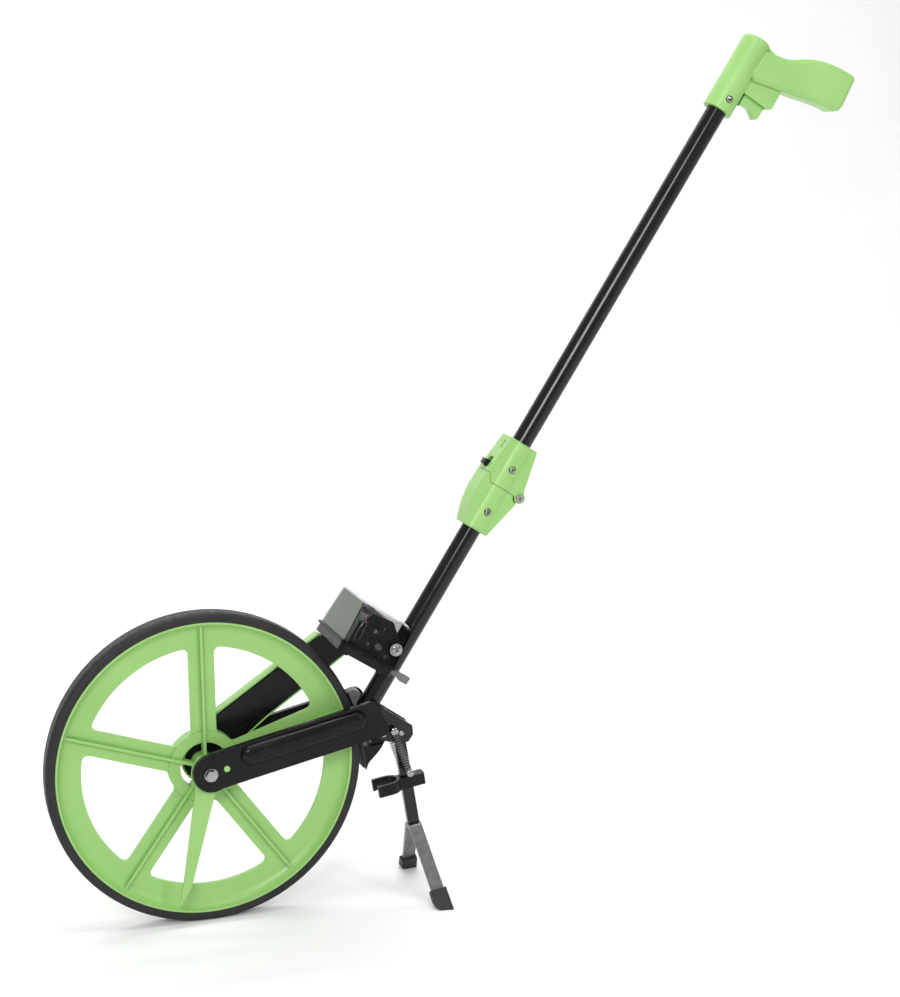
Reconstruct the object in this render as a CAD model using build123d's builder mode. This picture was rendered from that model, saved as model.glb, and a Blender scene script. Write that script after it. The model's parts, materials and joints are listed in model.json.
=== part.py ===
"""Folding measuring wheel: wheel, belt-driven counter, folding tube, brake trigger and kickstand.

Millimetres.  +Z is up, +X runs from the wheel back to the handle, +Y is the belt side.
The origin is on the floor, midway between the front of the tyre and the end of the grip.
"""
import os
from math import atan2, cos, degrees, pi, radians, sin

from build123d import *

# ---------------------------------------------------------------- driving dimensions
CIRCUMFERENCE = 1000.0
WHEEL_R = CIRCUMFERENCE / (2 * pi)
TYRE_HALF = 12.15
RIM_R = 150.0
AXLE_X = -276.0
TUBE_ANGLE = 57.0
TUBE_OFFSET = -118.6
TUBE_R = 10.5
TUBE_WALL = 1.2
SPOKES = 5
SPOKE_WIDTH = 25.9
AXLE_R = 3.0
RUNNING = 0.05
ARM_IN = 26.0
ARM_OUT = 32.0
PLATE_IN = 10.5
PLATE_OUT = 13.0
BELT_R = 6.3
BELT_LOW = 16.2
BELT_HIGH = 21.8
COVER_ANGLE = 34.6
DRUM_S = 203.0
DRUM_Q = 47.0
DRUM_R = 13.3
DRUM_WIDTH = 7.6
DRUM_PITCH = 8.6
HINGE_S = 392.6
HINGE_Q = -23.5
HOUSING_HALF = 17.0
PIVOT = (202.5, 15.5)
SPRING_STUD = (194.0, 19.7)
LEG_STUD = (43.0, 1.0)
LEG_LENGTH = 103.0
LEG_LEAN = 8.6
BRAKE_PIVOT = (184.0, 16.0)
BRAKE_LEVER = 34.5
TRIGGER_TRAVEL = 4.0

AXLE_Z = WHEEL_R
TUBE_X = cos(radians(TUBE_ANGLE))
TUBE_Z = sin(radians(TUBE_ANGLE))


# ---------------------------------------------------------------- drawing planes
def side_view(y):
    """Plane square to the axle at a distance y: x and y are +X and +Z from the axle."""
    return Plane((AXLE_X, y, AXLE_Z), x_dir=(1, 0, 0), z_dir=(0, -1, 0))


def tube_point(s, q):
    """Point in the middle plane, s along the tube and q in front of its centre line."""
    front = q + TUBE_OFFSET
    return AXLE_X + s * TUBE_X - front * TUBE_Z, AXLE_Z + s * TUBE_Z + front * TUBE_X


def tube_view(y):
    """Plane like side_view, turned with the tube: x is s and y is q."""
    x, z = tube_point(0, 0)
    return Plane((x, y, z), x_dir=(TUBE_X, 0, TUBE_Z), z_dir=(0, -1, 0))


def across(s, q=0.0, y=0.0):
    """Plane square to the tube at s: x points to the front and y to the near side."""
    x, z = tube_point(s, q)
    return Plane((x, y, z), x_dir=(-TUBE_Z, 0, TUBE_X), z_dir=(TUBE_X, 0, TUBE_Z))


def cover_view(y):
    """Plane like side_view, turned with the belt cover."""
    angle = radians(COVER_ANGLE)
    return Plane((AXLE_X, y, AXLE_Z), x_dir=(cos(angle), 0, sin(angle)), z_dir=(0, -1, 0))


def leg_view(y):
    """Plane like side_view at the stand's pivot: x runs down the strut, y to the rear."""
    angle = radians(LEG_LEAN)
    origin = (AXLE_X + PIVOT[0], y, AXLE_Z + PIVOT[1])
    return Plane(origin, x_dir=(sin(angle), 0, -cos(angle)), z_dir=(0, -1, 0))


ALONG_TUBE = Axis((0, 0, 0), (TUBE_X, 0, TUBE_Z))
TO_FRONT = Axis((0, 0, 0), (-TUBE_Z, 0, TUBE_X))


# ---------------------------------------------------------------- shape helpers
def slab(outline, y_low, y_high, view=side_view, radius=0.0, mode=Mode.ADD):
    """Extrude a closed outline of a view between two distances across the wheel."""
    with BuildSketch(view(y_high)) as drawing:
        with BuildLine():
            Polyline(*outline, close=True)
        make_face()
        if radius:
            fillet(drawing.vertices(), radius)
    extrude(drawing.sketch, amount=y_high - y_low, mode=mode)


def disc(centre, radius, y_low, y_high, view=side_view, mode=Mode.ADD):
    """Cylinder across the wheel."""
    with BuildSketch(view(y_high)) as drawing:
        with Locations(centre):
            Circle(radius)
    extrude(drawing.sketch, amount=y_high - y_low, mode=mode)


def ring(centre, outer, inner, y_low, y_high, view=side_view):
    """Sleeve across the wheel."""
    with BuildSketch(view(y_high)) as drawing:
        with Locations(centre):
            Circle(outer)
            Circle(inner, mode=Mode.SUBTRACT)
    extrude(drawing.sketch, amount=y_high - y_low)


def slot(start, end, radius, y_low, y_high, mode=Mode.ADD):
    """Round-ended bar across the wheel, between two centres of the side view."""
    run = Vector(*end) - Vector(*start)
    middle = (Vector(*end) + Vector(*start)) / 2
    with BuildSketch(side_view(y_high)) as drawing:
        with Locations(middle):
            SlotCenterToCenter(run.length, 2 * radius, rotation=degrees(atan2(run.Y, run.X)))
    extrude(drawing.sketch, amount=y_high - y_low, mode=mode)


def hexagon(centre, across_flats, y_low, y_high):
    """Hexagon head or nut across the wheel."""
    with BuildSketch(side_view(y_high)) as drawing:
        with Locations(centre):
            RegularPolygon(across_flats / 2, 6, major_radius=False)
    extrude(drawing.sketch, amount=y_high - y_low)


def rod(plane, radius, length, inner=0.0, mode=Mode.ADD):
    """Round bar or pipe that starts on a plane."""
    with BuildSketch(plane) as drawing:
        Circle(radius)
        if inner:
            Circle(inner, mode=Mode.SUBTRACT)
    extrude(drawing.sketch, amount=length, mode=mode)


def turned(outline, centre=(0.0, 0.0), mode=Mode.ADD):
    """Turn an outline of (radius, y) points about a line across the wheel."""
    origin = (AXLE_X + centre[0], 0, AXLE_Z + centre[1])
    with BuildSketch(Plane(origin, x_dir=(1, 0, 0), z_dir=(0, 0, 1))) as drawing:
        with BuildLine():
            Polyline(*outline, close=True)
        make_face()
    revolve(drawing.sketch, axis=Axis(origin, (0, 1, 0)), mode=mode)


def screw(centre, y_head, length, inward, view=side_view, head=3.6, shank=1.5):
    """Pan-head screw across the wheel; inward is +1 or -1, the way its shank points."""
    ends = sorted((y_head, y_head - 2.2 * inward))
    disc(centre, head, ends[0], ends[1], view)
    ends = sorted((y_head, y_head + length * inward))
    disc(centre, shank, ends[0], ends[1], view)
    ends = sorted((y_head - 2.2 * inward, y_head - 1.0 * inward))
    disc(centre, 0.9, ends[0], ends[1], view, mode=Mode.SUBTRACT)


def save(builder, name):
    """Label a finished piece and write it."""
    builder.part.label = name
    export_step(builder.part, f"parts/{name}.step")


os.makedirs("parts", exist_ok=True)

# ================================================================ wheel
KEY_HALF = 3.5
KEY_R = 148.4

with BuildPart() as tyre:
    turned([(RIM_R, -TYRE_HALF), (WHEEL_R - 3.2, -TYRE_HALF), (WHEEL_R - 0.9, -TYRE_HALF + 0.9),
            (WHEEL_R, -TYRE_HALF + 3.4), (WHEEL_R, TYRE_HALF - 3.4), (WHEEL_R - 0.9, TYRE_HALF - 0.9),
            (WHEEL_R - 3.2, TYRE_HALF), (RIM_R, TYRE_HALF), (RIM_R, KEY_HALF),
            (KEY_R, KEY_HALF), (KEY_R, -KEY_HALF), (RIM_R, -KEY_HALF)])
save(tyre, "tyre")

RIM_HALF = 12.0
WEB_HALF = 2.0
RIB_HALF = 6.0
WINDOW_R = 123.4
HUB_RING_R = 36.5
HUB_RING_IN = 25.0
BOSS_R = 12.0
BOSS_HALF = 13.0
BUSH_R = 6.5

with BuildPart() as wheel_rim:
    origin = (AXLE_X, 0, AXLE_Z)
    with BuildSketch(Plane(origin, x_dir=(1, 0, 0), z_dir=(0, 0, 1))) as section:
        with BuildLine():
            Polyline((136, -WEB_HALF), (WINDOW_R - 4, -WEB_HALF), (WINDOW_R - 4, WEB_HALF), (136, WEB_HALF))
            ThreePointArc((136, WEB_HALF), (144.3, 5.2), (147.8, RIM_HALF))
            Polyline((147.8, RIM_HALF), (RIM_R, RIM_HALF), (RIM_R, KEY_HALF), (KEY_R, KEY_HALF),
                     (KEY_R, -KEY_HALF), (RIM_R, -KEY_HALF), (RIM_R, -RIM_HALF), (147.8, -RIM_HALF))
            ThreePointArc((147.8, -RIM_HALF), (144.3, -5.2), (136, -WEB_HALF))
        make_face()
    revolve(axis=Axis(origin, (0, 1, 0)))
    with BuildSketch(side_view(WEB_HALF)) as web:
        Circle(WINDOW_R + 10)
        Circle(HUB_RING_IN, mode=Mode.SUBTRACT)
    extrude(amount=2 * WEB_HALF)
    ring((0, 0), HUB_RING_R, HUB_RING_IN, -WEB_HALF - 1, RIM_HALF)
    ring((0, 0), BOSS_R, BUSH_R, -BOSS_HALF, BOSS_HALF)
    with BuildSketch(side_view(20)) as windows:
        Circle(WINDOW_R)
        Circle(HUB_RING_R, mode=Mode.SUBTRACT)
        with PolarLocations((WINDOW_R + HUB_RING_R) / 2, SPOKES, start_angle=90):
            Rectangle(WINDOW_R, SPOKE_WIDTH, mode=Mode.SUBTRACT)
        fillet(windows.vertices(), 6)
    extrude(amount=40, mode=Mode.SUBTRACT)
    with BuildSketch(side_view(RIB_HALF)) as ribs:
        with PolarLocations((BOSS_R - 1 + 147) / 2, SPOKES, start_angle=90):
            Rectangle(147 - BOSS_R + 1, 3)
    extrude(amount=2 * RIB_HALF)
save(wheel_rim, "wheel_rim")

BUSH_FLANGE = 1.2
BUSH_FLANGE_R = 7.0

with BuildPart() as hub_bushes:
    for end in (-1, 1):
        turned([(AXLE_R + RUNNING, end * 3), (BUSH_R, end * 3), (BUSH_R, end * BOSS_HALF),
                (BUSH_FLANGE_R, end * BOSS_HALF), (BUSH_FLANGE_R, end * (BOSS_HALF + BUSH_FLANGE)),
                (AXLE_R + RUNNING, end * (BOSS_HALF + BUSH_FLANGE))])
save(hub_bushes, "hub_bushes")

FLANGE_R = 10.2
PULLEY_BORE = 4.8
SPACER_R = 4.5


def pulley_outline(y_low):
    """Half section of a flanged belt pulley: (radius, y) points."""
    return [(PULLEY_BORE, y_low), (FLANGE_R, y_low), (FLANGE_R, y_low + 0.9), (BELT_R, y_low + 1.0),
            (BELT_R, y_low + 7.2), (FLANGE_R, y_low + 7.3), (FLANGE_R, y_low + 8.2),
            (PULLEY_BORE, y_low + 8.2)]


PULLEY_LOW = 15.1

with BuildPart() as hub_pulley:
    turned(pulley_outline(PULLEY_LOW))
    ring((0, 0), 9.6, 7.3, BOSS_HALF, PULLEY_LOW)
save(hub_pulley, "hub_pulley")

# ================================================================ axle
with BuildPart() as axle_bolt:
    hexagon((0, 0), 10.0, -ARM_OUT - 5.4, -ARM_OUT - 1.2)
    disc((0, 0), AXLE_R, -ARM_OUT - 1.2, ARM_OUT + 7.5)
save(axle_bolt, "axle_bolt")

with BuildPart() as axle_nut:
    hexagon((0, 0), 10.0, ARM_OUT + 1.2, ARM_OUT + 6.2)
    disc((0, 0), AXLE_R, ARM_OUT + 1.2, ARM_OUT + 6.2, mode=Mode.SUBTRACT)
save(axle_nut, "axle_nut")

with BuildPart() as axle_washers:
    ring((0, 0), 6.8, AXLE_R, -ARM_OUT - 1.2, -ARM_OUT)
    ring((0, 0), 6.8, AXLE_R, ARM_OUT, ARM_OUT + 1.2)
save(axle_washers, "axle_washers")

with BuildPart() as axle_spacers:
    ring((0, 0), SPACER_R, AXLE_R, -ARM_IN, -BOSS_HALF - BUSH_FLANGE - 0.2)
    ring((0, 0), SPACER_R, AXLE_R, BOSS_HALF + BUSH_FLANGE + 0.2, ARM_IN)
save(axle_spacers, "axle_spacers")

# ================================================================ fork
PEG = (16.1, 4.6)
PEG_R = 3.1
ARM_SCREWS = [(175.5, 33.0), (175.0, 22.5)]
ARM_TOP_FRONT = (-2.5, 20.3)
ARM_TOP_REAR = (170.0, 58.2)
ARM_LOW_REAR = (187.5, 22.6)
ARM_LOW_FRONT = (5.0, -16.6)
ARM_END = (1.3, 1.0)


def fork_arm(side):
    """Moulded arm from the axle to the bracket; side is -1 on the near side, +1 on the far."""
    def span(inner, outer):
        return sorted((side * inner, side * outer))

    low, high = span(ARM_IN, ARM_OUT)
    with BuildPart() as arm:
        slab([ARM_TOP_FRONT, ARM_TOP_REAR, ARM_LOW_REAR, ARM_LOW_FRONT], low, high)
        fillet(arm.edges().filter_by(Axis.Y).sort_by(Axis.X)[-2:], 7)
        disc(ARM_END, 19.0, low, high)
        low, high = span(PLATE_OUT, ARM_IN)
        slab([(166, 49), (177, 52), (181, 19), (172, 17)], low, high, radius=2)
        low, high = span(ARM_OUT, ARM_OUT + 1.2)
        slot((42, 17.0), (150.5, 40.3), 9.0, low, high)
        disc((0, 0), AXLE_R, *span(0, ARM_OUT), mode=Mode.SUBTRACT)
        for centre in ARM_SCREWS:
            disc(centre, 1.5, *span(0, ARM_OUT - 3), mode=Mode.SUBTRACT)
        if side < 0:
            disc(PEG, PEG_R, *span(0, ARM_OUT), mode=Mode.SUBTRACT)
    return arm


save(fork_arm(-1), "near_arm")
save(fork_arm(1), "far_arm")

with BuildPart() as pointer:
    disc((0, 0), 18.5, -ARM_IN, -ARM_IN + 2.6)
    slab([(-15.4, -8), (-15.4, -19), (-30.3, -112.9), (-34.5, -133.5), (-33.4, -134), (-21.8, -115.2),
          (3.4, -26), (12, -8)], -ARM_IN, -ARM_IN + 2.6)
    disc((0, 0), 6.2, -ARM_IN, -ARM_IN + 2.6, mode=Mode.SUBTRACT)
    disc(PEG, PEG_R, -ARM_OUT - 0.6, -ARM_IN)
save(pointer, "pointer")

BRACKET = [(163, 50), (178, 53), (184, 44.5), (214.7, 22.6), (215.4, 13), (210, 5.5), (190, 7.5),
           (181, 10.5), (170, 17)]

with BuildPart() as bracket_plates:
    for low in (-PLATE_OUT, PLATE_IN):
        slab(BRACKET, low, low + PLATE_OUT - PLATE_IN, radius=1.5)
        for centre in (PIVOT, SPRING_STUD, BRAKE_PIVOT):
            disc(centre, 2.5, low, low + PLATE_OUT - PLATE_IN, mode=Mode.SUBTRACT)
        for centre in ARM_SCREWS:
            disc(centre, 1.5, low, low + PLATE_OUT - PLATE_IN, mode=Mode.SUBTRACT)
save(bracket_plates, "bracket_plates")

with BuildPart() as arm_screws:
    for centre in ARM_SCREWS:
        for side in (-1, 1):
            ends = sorted((side * (PLATE_IN - 1.8), side * PLATE_IN))
            disc(centre, 3.0, *ends)
            ends = sorted((side * PLATE_IN, side * (ARM_OUT - 4)))
            disc(centre, 1.5, *ends)
save(arm_screws, "arm_screws")

with BuildPart() as fork_rivets:
    for centre in (PIVOT, BRAKE_PIVOT):
        disc(centre, 2.5, -PLATE_OUT, PLATE_OUT)
        disc(centre, 3.4, -PLATE_OUT - 1.6, -PLATE_OUT)
        disc(centre, 3.4, PLATE_OUT, PLATE_OUT + 1.6)
save(fork_rivets, "fork_rivets")

with BuildPart() as spring_studs:
    for side in (-1, 1):
        disc(SPRING_STUD, 2.5, *sorted((side * (PLATE_IN - 0.5), side * 18.2)))
        disc(SPRING_STUD, 4.0, *sorted((side * 18.2, side * 20.0)))
save(spring_studs, "spring_studs")

# ================================================================ tubes
LOWER_TUBE = (130.5, 388.0)
UPPER_TUBE = (399.5, 905.0)

with BuildPart() as lower_tube:
    rod(across(LOWER_TUBE[0]), TUBE_R, LOWER_TUBE[1] - LOWER_TUBE[0], TUBE_R - TUBE_WALL)
    disc((363.5, 0.0), 1.5, -12, 12, tube_view, mode=Mode.SUBTRACT)
save(lower_tube, "lower_tube")

with BuildPart() as upper_tube:
    rod(across(UPPER_TUBE[0]), TUBE_R, UPPER_TUBE[1] - UPPER_TUBE[0], TUBE_R - TUBE_WALL)
    slab([(868, -5), (906, -5), (906, -12), (868, -12)], -4.0, 4.0, tube_view, mode=Mode.SUBTRACT)
    for s_place in (413.2, 853.6):
        disc((s_place, 0.0), 1.5, -12, 12, tube_view, mode=Mode.SUBTRACT)
save(upper_tube, "upper_tube")

# ================================================================ brake
WIRE_Q = 7.5
WIRE_R = 0.8
PAD_R = WHEEL_R + 0.2
SHOE_R = PAD_R + 3.0

# The pad meets the tyre all along when the trigger is full on, so its arc is centred where
# the axle stands as seen from the lever turned that far.
brake_turn = TRIGGER_TRAVEL / BRAKE_LEVER
PAD_CENTRE = (BRAKE_PIVOT[0] - BRAKE_PIVOT[0] * cos(brake_turn) + BRAKE_PIVOT[1] * sin(brake_turn),
              BRAKE_PIVOT[1] - BRAKE_PIVOT[0] * sin(brake_turn) - BRAKE_PIVOT[1] * cos(brake_turn))


def on_pad(radius, angle):
    """Point at an angle of the brake pad's own arcs."""
    return PAD_CENTRE[0] + radius * cos(radians(angle)), PAD_CENTRE[1] + radius * sin(radians(angle))


with BuildPart() as brake_pad:
    with BuildSketch(side_view(10.5)) as pad:
        with BuildLine():
            CenterArc(PAD_CENTRE, PAD_R, 1.2, 9.4)
            CenterArc(PAD_CENTRE, SHOE_R, 1.2, 9.4)
            Line(on_pad(PAD_R, 1.2), on_pad(SHOE_R, 1.2))
            Line(on_pad(PAD_R, 10.6), on_pad(SHOE_R, 10.6))
        make_face()
    extrude(amount=21)
save(brake_pad, "brake_pad")

with BuildPart() as brake_shoe:
    with BuildSketch(side_view(10.5)) as wedge:
        with BuildLine():
            CenterArc(PAD_CENTRE, SHOE_R, 0.2, 9.0)
            Line(on_pad(SHOE_R, 9.2), (184.0, 5.5))
            Spline((184.0, 5.5), (181.0, 0.5), (174.6, -6.6), (167.6, -14.0))
            Line((167.6, -14.0), on_pad(SHOE_R, 0.2))
        make_face()
    extrude(amount=21)
    slab([(170.0, 3.0), (184.5, 4.0), (190.0, 13.0), (188.0, 20.0), (180.0, 21.5), (173.0, 12.0)], -8.0, 8.0,
         radius=2)
    disc(BRAKE_PIVOT, 2.55, -8.0, 8.0, mode=Mode.SUBTRACT)
save(brake_shoe, "brake_shoe")

ARM_OUTLINE = [(107.0, -22.0), (116.0, -20.5), (117.0, -10.0), (121.0, 0.0), (123.8, 5.0), (125.4, 9.0),
               (125.8, 13.2), (138.2, 14.6), (139.9, 17.3), (138.8, 24.1), (135.5, 26.2), (131.4, 25.4),
               (124.7, 15.4), (120.7, 10.4), (116.6, 5.2), (113.4, 0.0), (108.6, -10.0)]

with BuildPart() as brake_arm:
    with BuildSketch(tube_view(6.0)) as arch:
        Polygon(*ARM_OUTLINE, align=None)
        fillet(arch.vertices().sort_by(ALONG_TUBE)[-5:], 1.4)
    extrude(amount=12)
    slab([(131.0, 19.0), (134.6, 17.4), (135.6, 22.4)], -7.0, 7.0, tube_view, radius=0.6, mode=Mode.SUBTRACT)
    slab([(170.0, 3.0), (184.5, 4.0), (190.0, 13.0), (188.0, 20.0), (180.0, 21.5), (173.0, 12.0)], -8.0, 8.0,
         radius=2, mode=Mode.SUBTRACT)
    rod(across(110, WIRE_Q), 3.1, 20, mode=Mode.SUBTRACT)
save(brake_arm, "brake_arm")

with BuildPart() as lower_brake_wire:
    rod(across(123.4, WIRE_Q), WIRE_R, 391.0 - 123.4)
    rod(across(119.9, WIRE_Q), 1.6, 3.5)
save(lower_brake_wire, "lower_brake_wire")

with BuildPart() as upper_brake_wire:
    rod(across(393.6, WIRE_Q), WIRE_R, 882.0 - 393.6)
save(upper_brake_wire, "upper_brake_wire")

# ================================================================ belt drive
COVER_LOW = 13.3
COVER_TOP = 25.6
COVER_CUT_S = 169.6
SMALL_GAP = 0.3


def cover_outline(hub_r, top, bottom):
    """Hub end and long band of the belt cover; top and bottom bound the band."""
    Circle(hub_r)
    Polygon((0, hub_r - 0.5), (34, top), (205, top - 2.4), (205, bottom), (78, bottom), (36, bottom - 3.0),
            (6, -hub_r + 1.5), align=None)


with BuildPart() as belt_cover_inner:
    with BuildSketch(cover_view(COVER_LOW + 1.5)):
        cover_outline(17.5, 28.2, -4.8)
        Circle(11.0, mode=Mode.SUBTRACT)
    extrude(amount=1.5)
    split(bisect_by=across(COVER_CUT_S), keep=Keep.BOTTOM)
save(belt_cover_inner, "belt_cover_inner")

with BuildPart() as belt_cover_outer:
    with BuildSketch(cover_view(COVER_TOP)):
        cover_outline(20.2, 32.2, -6.5)
    extrude(amount=COVER_TOP - COVER_LOW)
    with BuildSketch(cover_view(COVER_TOP - 1.8)):
        cover_outline(18.4, 30.2, -4.8)
    extrude(amount=20, mode=Mode.SUBTRACT)
    with BuildSketch(cover_view(COVER_LOW + 1.5)):
        cover_outline(17.5, 28.2, -4.8)
    extrude(amount=1.5, mode=Mode.SUBTRACT)
    disc((0, 0), 7.0, COVER_LOW, COVER_TOP, mode=Mode.SUBTRACT)
    split(bisect_by=across(COVER_CUT_S), keep=Keep.BOTTOM)
save(belt_cover_outer, "belt_cover_outer")

COVER_SCREWS = [(76, 25), (118, 24), (168, 2.5)]

with BuildPart() as belt_cover_screws:
    with BuildSketch(cover_view(COVER_TOP + 2.0)):
        with Locations(*COVER_SCREWS):
            Circle(3.2)
            RegularPolygon(1.3, 4, mode=Mode.SUBTRACT)
    extrude(amount=1.6)
    with BuildSketch(cover_view(COVER_TOP + 0.4)):
        with Locations(*COVER_SCREWS):
            Circle(3.2)
    extrude(amount=0.4)
save(belt_cover_screws, "belt_cover_screws")

drum_x, drum_z = tube_point(DRUM_S, DRUM_Q)
DRUM_AXIS = (drum_x - AXLE_X, drum_z - AXLE_Z)
BELT_IN = BELT_R + SMALL_GAP
BELT_THICK = 1.3

with BuildPart() as drive_belt:
    slot((0, 0), DRUM_AXIS, BELT_IN + BELT_THICK, BELT_LOW, BELT_HIGH)
    slot((0, 0), DRUM_AXIS, BELT_IN, BELT_LOW, BELT_HIGH, mode=Mode.SUBTRACT)
save(drive_belt, "drive_belt")

# ================================================================ counter
BASE_S = 170.0
HOOD_S = 178.0
HOOD_TOP = 224.6
BASE_Q = (12.4, 75.0)
SHAFT_R = 2.0
PLATE_Y = 33.0
RESET_PIVOT = (174.4, 22.0)

with BuildPart() as counter_base:
    with BuildSketch(across(BASE_S)):
        with Locations(((BASE_Q[0] + BASE_Q[1]) / 2, 0)):
            RectangleRounded(BASE_Q[1] - BASE_Q[0], 92, 5)
    extrude(amount=HOOD_S - BASE_S)
    with BuildSketch(across(BASE_S)):
        with Locations((11, 0)):
            Rectangle(12, 30)
    extrude(amount=HOOD_S - BASE_S)
    rod(across(BASE_S - 1), TUBE_R, 60, mode=Mode.SUBTRACT)
    slab([(165, 43), (175, 41), (185, 38), (185, 70), (175, 72), (165, 75)], BELT_LOW - 2.5, BELT_HIGH + 2.5,
         tube_view, mode=Mode.SUBTRACT)
    slab([(165, 5), (179, 5), (179, 28), (165, 28)], -22.6, -13.6, tube_view, mode=Mode.SUBTRACT)
    disc(RESET_PIVOT, 1.5, -30, -8, tube_view, mode=Mode.SUBTRACT)
    with BuildSketch(across(BASE_S - 2.0)):
        with Locations((43, 0)):
            with GridLocations(40, 72, 2, 2):
                Circle(2.6)
    extrude(amount=2.0)
save(counter_base, "counter_base")

FRAME = [(HOOD_S, 69), (205, 69), (206, 62), (217, 58.5), (220, 35), (207, 19.5), (HOOD_S, 16)]

with BuildPart() as counter_frame:
    for low in (-PLATE_Y - 2, PLATE_Y):
        slab(FRAME, low, low + 2, tube_view, radius=1.2)
    slab([(HOOD_S, 17), (HOOD_S, 34), (HOOD_S + 2, 34), (HOOD_S + 2, 17)], -PLATE_Y, PLATE_Y, tube_view)
    slab([(HOOD_S, 69.9), (HOOD_S, 72.2), (204, 70.2), (204, 68)], -PLATE_Y - 2, PLATE_Y + 2, tube_view)
    disc((DRUM_S, DRUM_Q), SHAFT_R, -40, 40, tube_view, mode=Mode.SUBTRACT)
save(counter_frame, "counter_frame")

MASK_S = 217.0

with BuildPart() as counter_mask:
    slab([(MASK_S, 34), (MASK_S, 60), (MASK_S + 1.5, 60), (MASK_S + 1.5, 34)], -PLATE_Y, PLATE_Y, tube_view)
    slab([(MASK_S - 1, 42), (MASK_S - 1, 52), (MASK_S + 2, 52), (MASK_S + 2, 42)], -30.5, 12.5, tube_view,
         mode=Mode.SUBTRACT)
save(counter_mask, "counter_mask")

DRUM_FIRST = 3.9

for number in range(1, 6):
    low = DRUM_FIRST - (number - 1) * DRUM_PITCH
    with BuildPart() as number_drum:
        ring((DRUM_S, DRUM_Q), DRUM_R, DRUM_R - 1.6, low, low + DRUM_WIDTH, tube_view)
        ring((DRUM_S, DRUM_Q), DRUM_R - 1.0, SHAFT_R + RUNNING, low + 3, low + 5, tube_view)
        ring((DRUM_S, DRUM_Q), 4.0, SHAFT_R + RUNNING, low, low + DRUM_WIDTH, tube_view)
    save(number_drum, f"number_drum_{number}")

with BuildPart() as counter_pulley:
    turned(pulley_outline(PULLEY_LOW), DRUM_AXIS)
    ring((DRUM_S, DRUM_Q), PULLEY_BORE, SHAFT_R + RUNNING, PULLEY_LOW, PULLEY_LOW + 8.2, tube_view)
    ring((DRUM_S, DRUM_Q), 4.0, SHAFT_R + RUNNING, DRUM_FIRST + DRUM_WIDTH, PULLEY_LOW, tube_view)
save(counter_pulley, "counter_pulley")

with BuildPart() as drum_shaft:
    disc((DRUM_S, DRUM_Q), SHAFT_R, -PLATE_Y - 3, PLATE_Y + 3, tube_view)
save(drum_shaft, "drum_shaft")


def hood_block(inset):
    """Tapered block with a large round along its top rear edge."""
    with BuildPart() as block:
        with BuildSketch(across(HOOD_S)):
            with Locations((43.8, 0)):
                Rectangle(61.6 - 2 * inset, 89.0 - 2 * inset)
        with BuildSketch(across(HOOD_TOP - inset)):
            with Locations((44.2, 0)):
                Rectangle(60.8 - 2 * inset, 75.4 - 2 * inset)
        loft()
        crosswise = block.edges().filter_by(Axis.Y).sort_by(ALONG_TUBE)
        fillet(crosswise[2:].sort_by(TO_FRONT)[0], 10 - inset)
        lines = block.edges().filter_by(GeomType.LINE).filter_by(Axis.Y, reverse=True)
        fillet(lines.group_by(Edge.length)[-1], 3.5 - inset)
    return block.part


with BuildPart() as counter_hood:
    add(hood_block(0))
    add(hood_block(1.8), mode=Mode.SUBTRACT)
    with BuildSketch(across(HOOD_S + 0.4)):
        with Locations((43.9, 0)):
            RectangleRounded(66.0, 97.0, 5)
            RectangleRounded(58.0, 85.0, 4, mode=Mode.SUBTRACT)
    extrude(amount=2.6)
    for side in (-1, 1):
        disc((197.5, 20.5), 2.0, *sorted((side * 30, side * 50)), tube_view, mode=Mode.SUBTRACT)
        disc((197.5, 20.5), 5.6, *sorted((side * 41.4, side * 50)), tube_view, mode=Mode.SUBTRACT)
save(counter_hood, "counter_hood")

with BuildPart() as hood_screws:
    for side in (-1, 1):
        disc((197.5, 20.5), 2.0, *sorted((side * (PLATE_Y + 2), side * 42.6)), tube_view)
        disc((197.5, 20.5), 5.4, *sorted((side * 41.4, side * 42.6)), tube_view)
        disc((197.5, 20.5), 3.3, *sorted((side * 42.6, side * 45.0)), tube_view)
save(hood_screws, "hood_screws")

with BuildPart() as counter_clamp:
    with BuildSketch(across(BASE_S + 1)):
        Circle(TUBE_R + 1.2)
        Circle(TUBE_R, mode=Mode.SUBTRACT)
        with Locations((15, 0)):
            Rectangle(20, 40, mode=Mode.SUBTRACT)
    extrude(amount=6)
save(counter_clamp, "counter_clamp")

with BuildPart() as reset_lever:
    slab([(171.8, 26), (171.8, -5), (169.9, -8), (169.9, -17), (178.0, -17), (178.0, -8), (176.6, -3),
          (176.6, 26)], -21.6, -14.6, tube_view, radius=1.0)
    disc(RESET_PIVOT, 1.55, -23, -13, tube_view, mode=Mode.SUBTRACT)
save(reset_lever, "reset_lever")

with BuildPart() as reset_pin:
    disc(RESET_PIVOT, 1.5, -30, -8, tube_view)
save(reset_pin, "reset_pin")

# ================================================================ fold joint
HINGE = (HINGE_S, HINGE_Q)
KNUCKLE_R = 6.0
KNUCKLE_HALF = 7.2
SIDE_GAP = 0.3
FLAT_HALF = 14.3
SWING_R = 7.5
HOUSING = [(341.5, -13.0), (341.5, 14.0), (360.7, 20.3), (378.0, 22.8), (403.0, 22.2), (413.6, 20.6),
           (442.3, 17.5), (442.3, -15.0), (413.0, -21.8), (402.0, -24.2), (396.4, -27.0), (385.5, -23.8),
           (376.0, -21.4)]
LOWER_SIDE = [(330, -40), (330, 40), (399.6, 40), (399.6, 19.2), (391.4, 13.2), (391.4, -40)]
UPPER_SIDE = [(460, -40), (460, 40), (400.0, 40), (400.0, 19.0), (391.8, 13.0), (391.8, -40)]
LOWER_SCREW = (363.5, 0.0)
UPPER_SCREW = (413.2, 0.0)
LATCH = (404.0, 411.0)
LATCH_TRAVEL = 4.0


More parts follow.
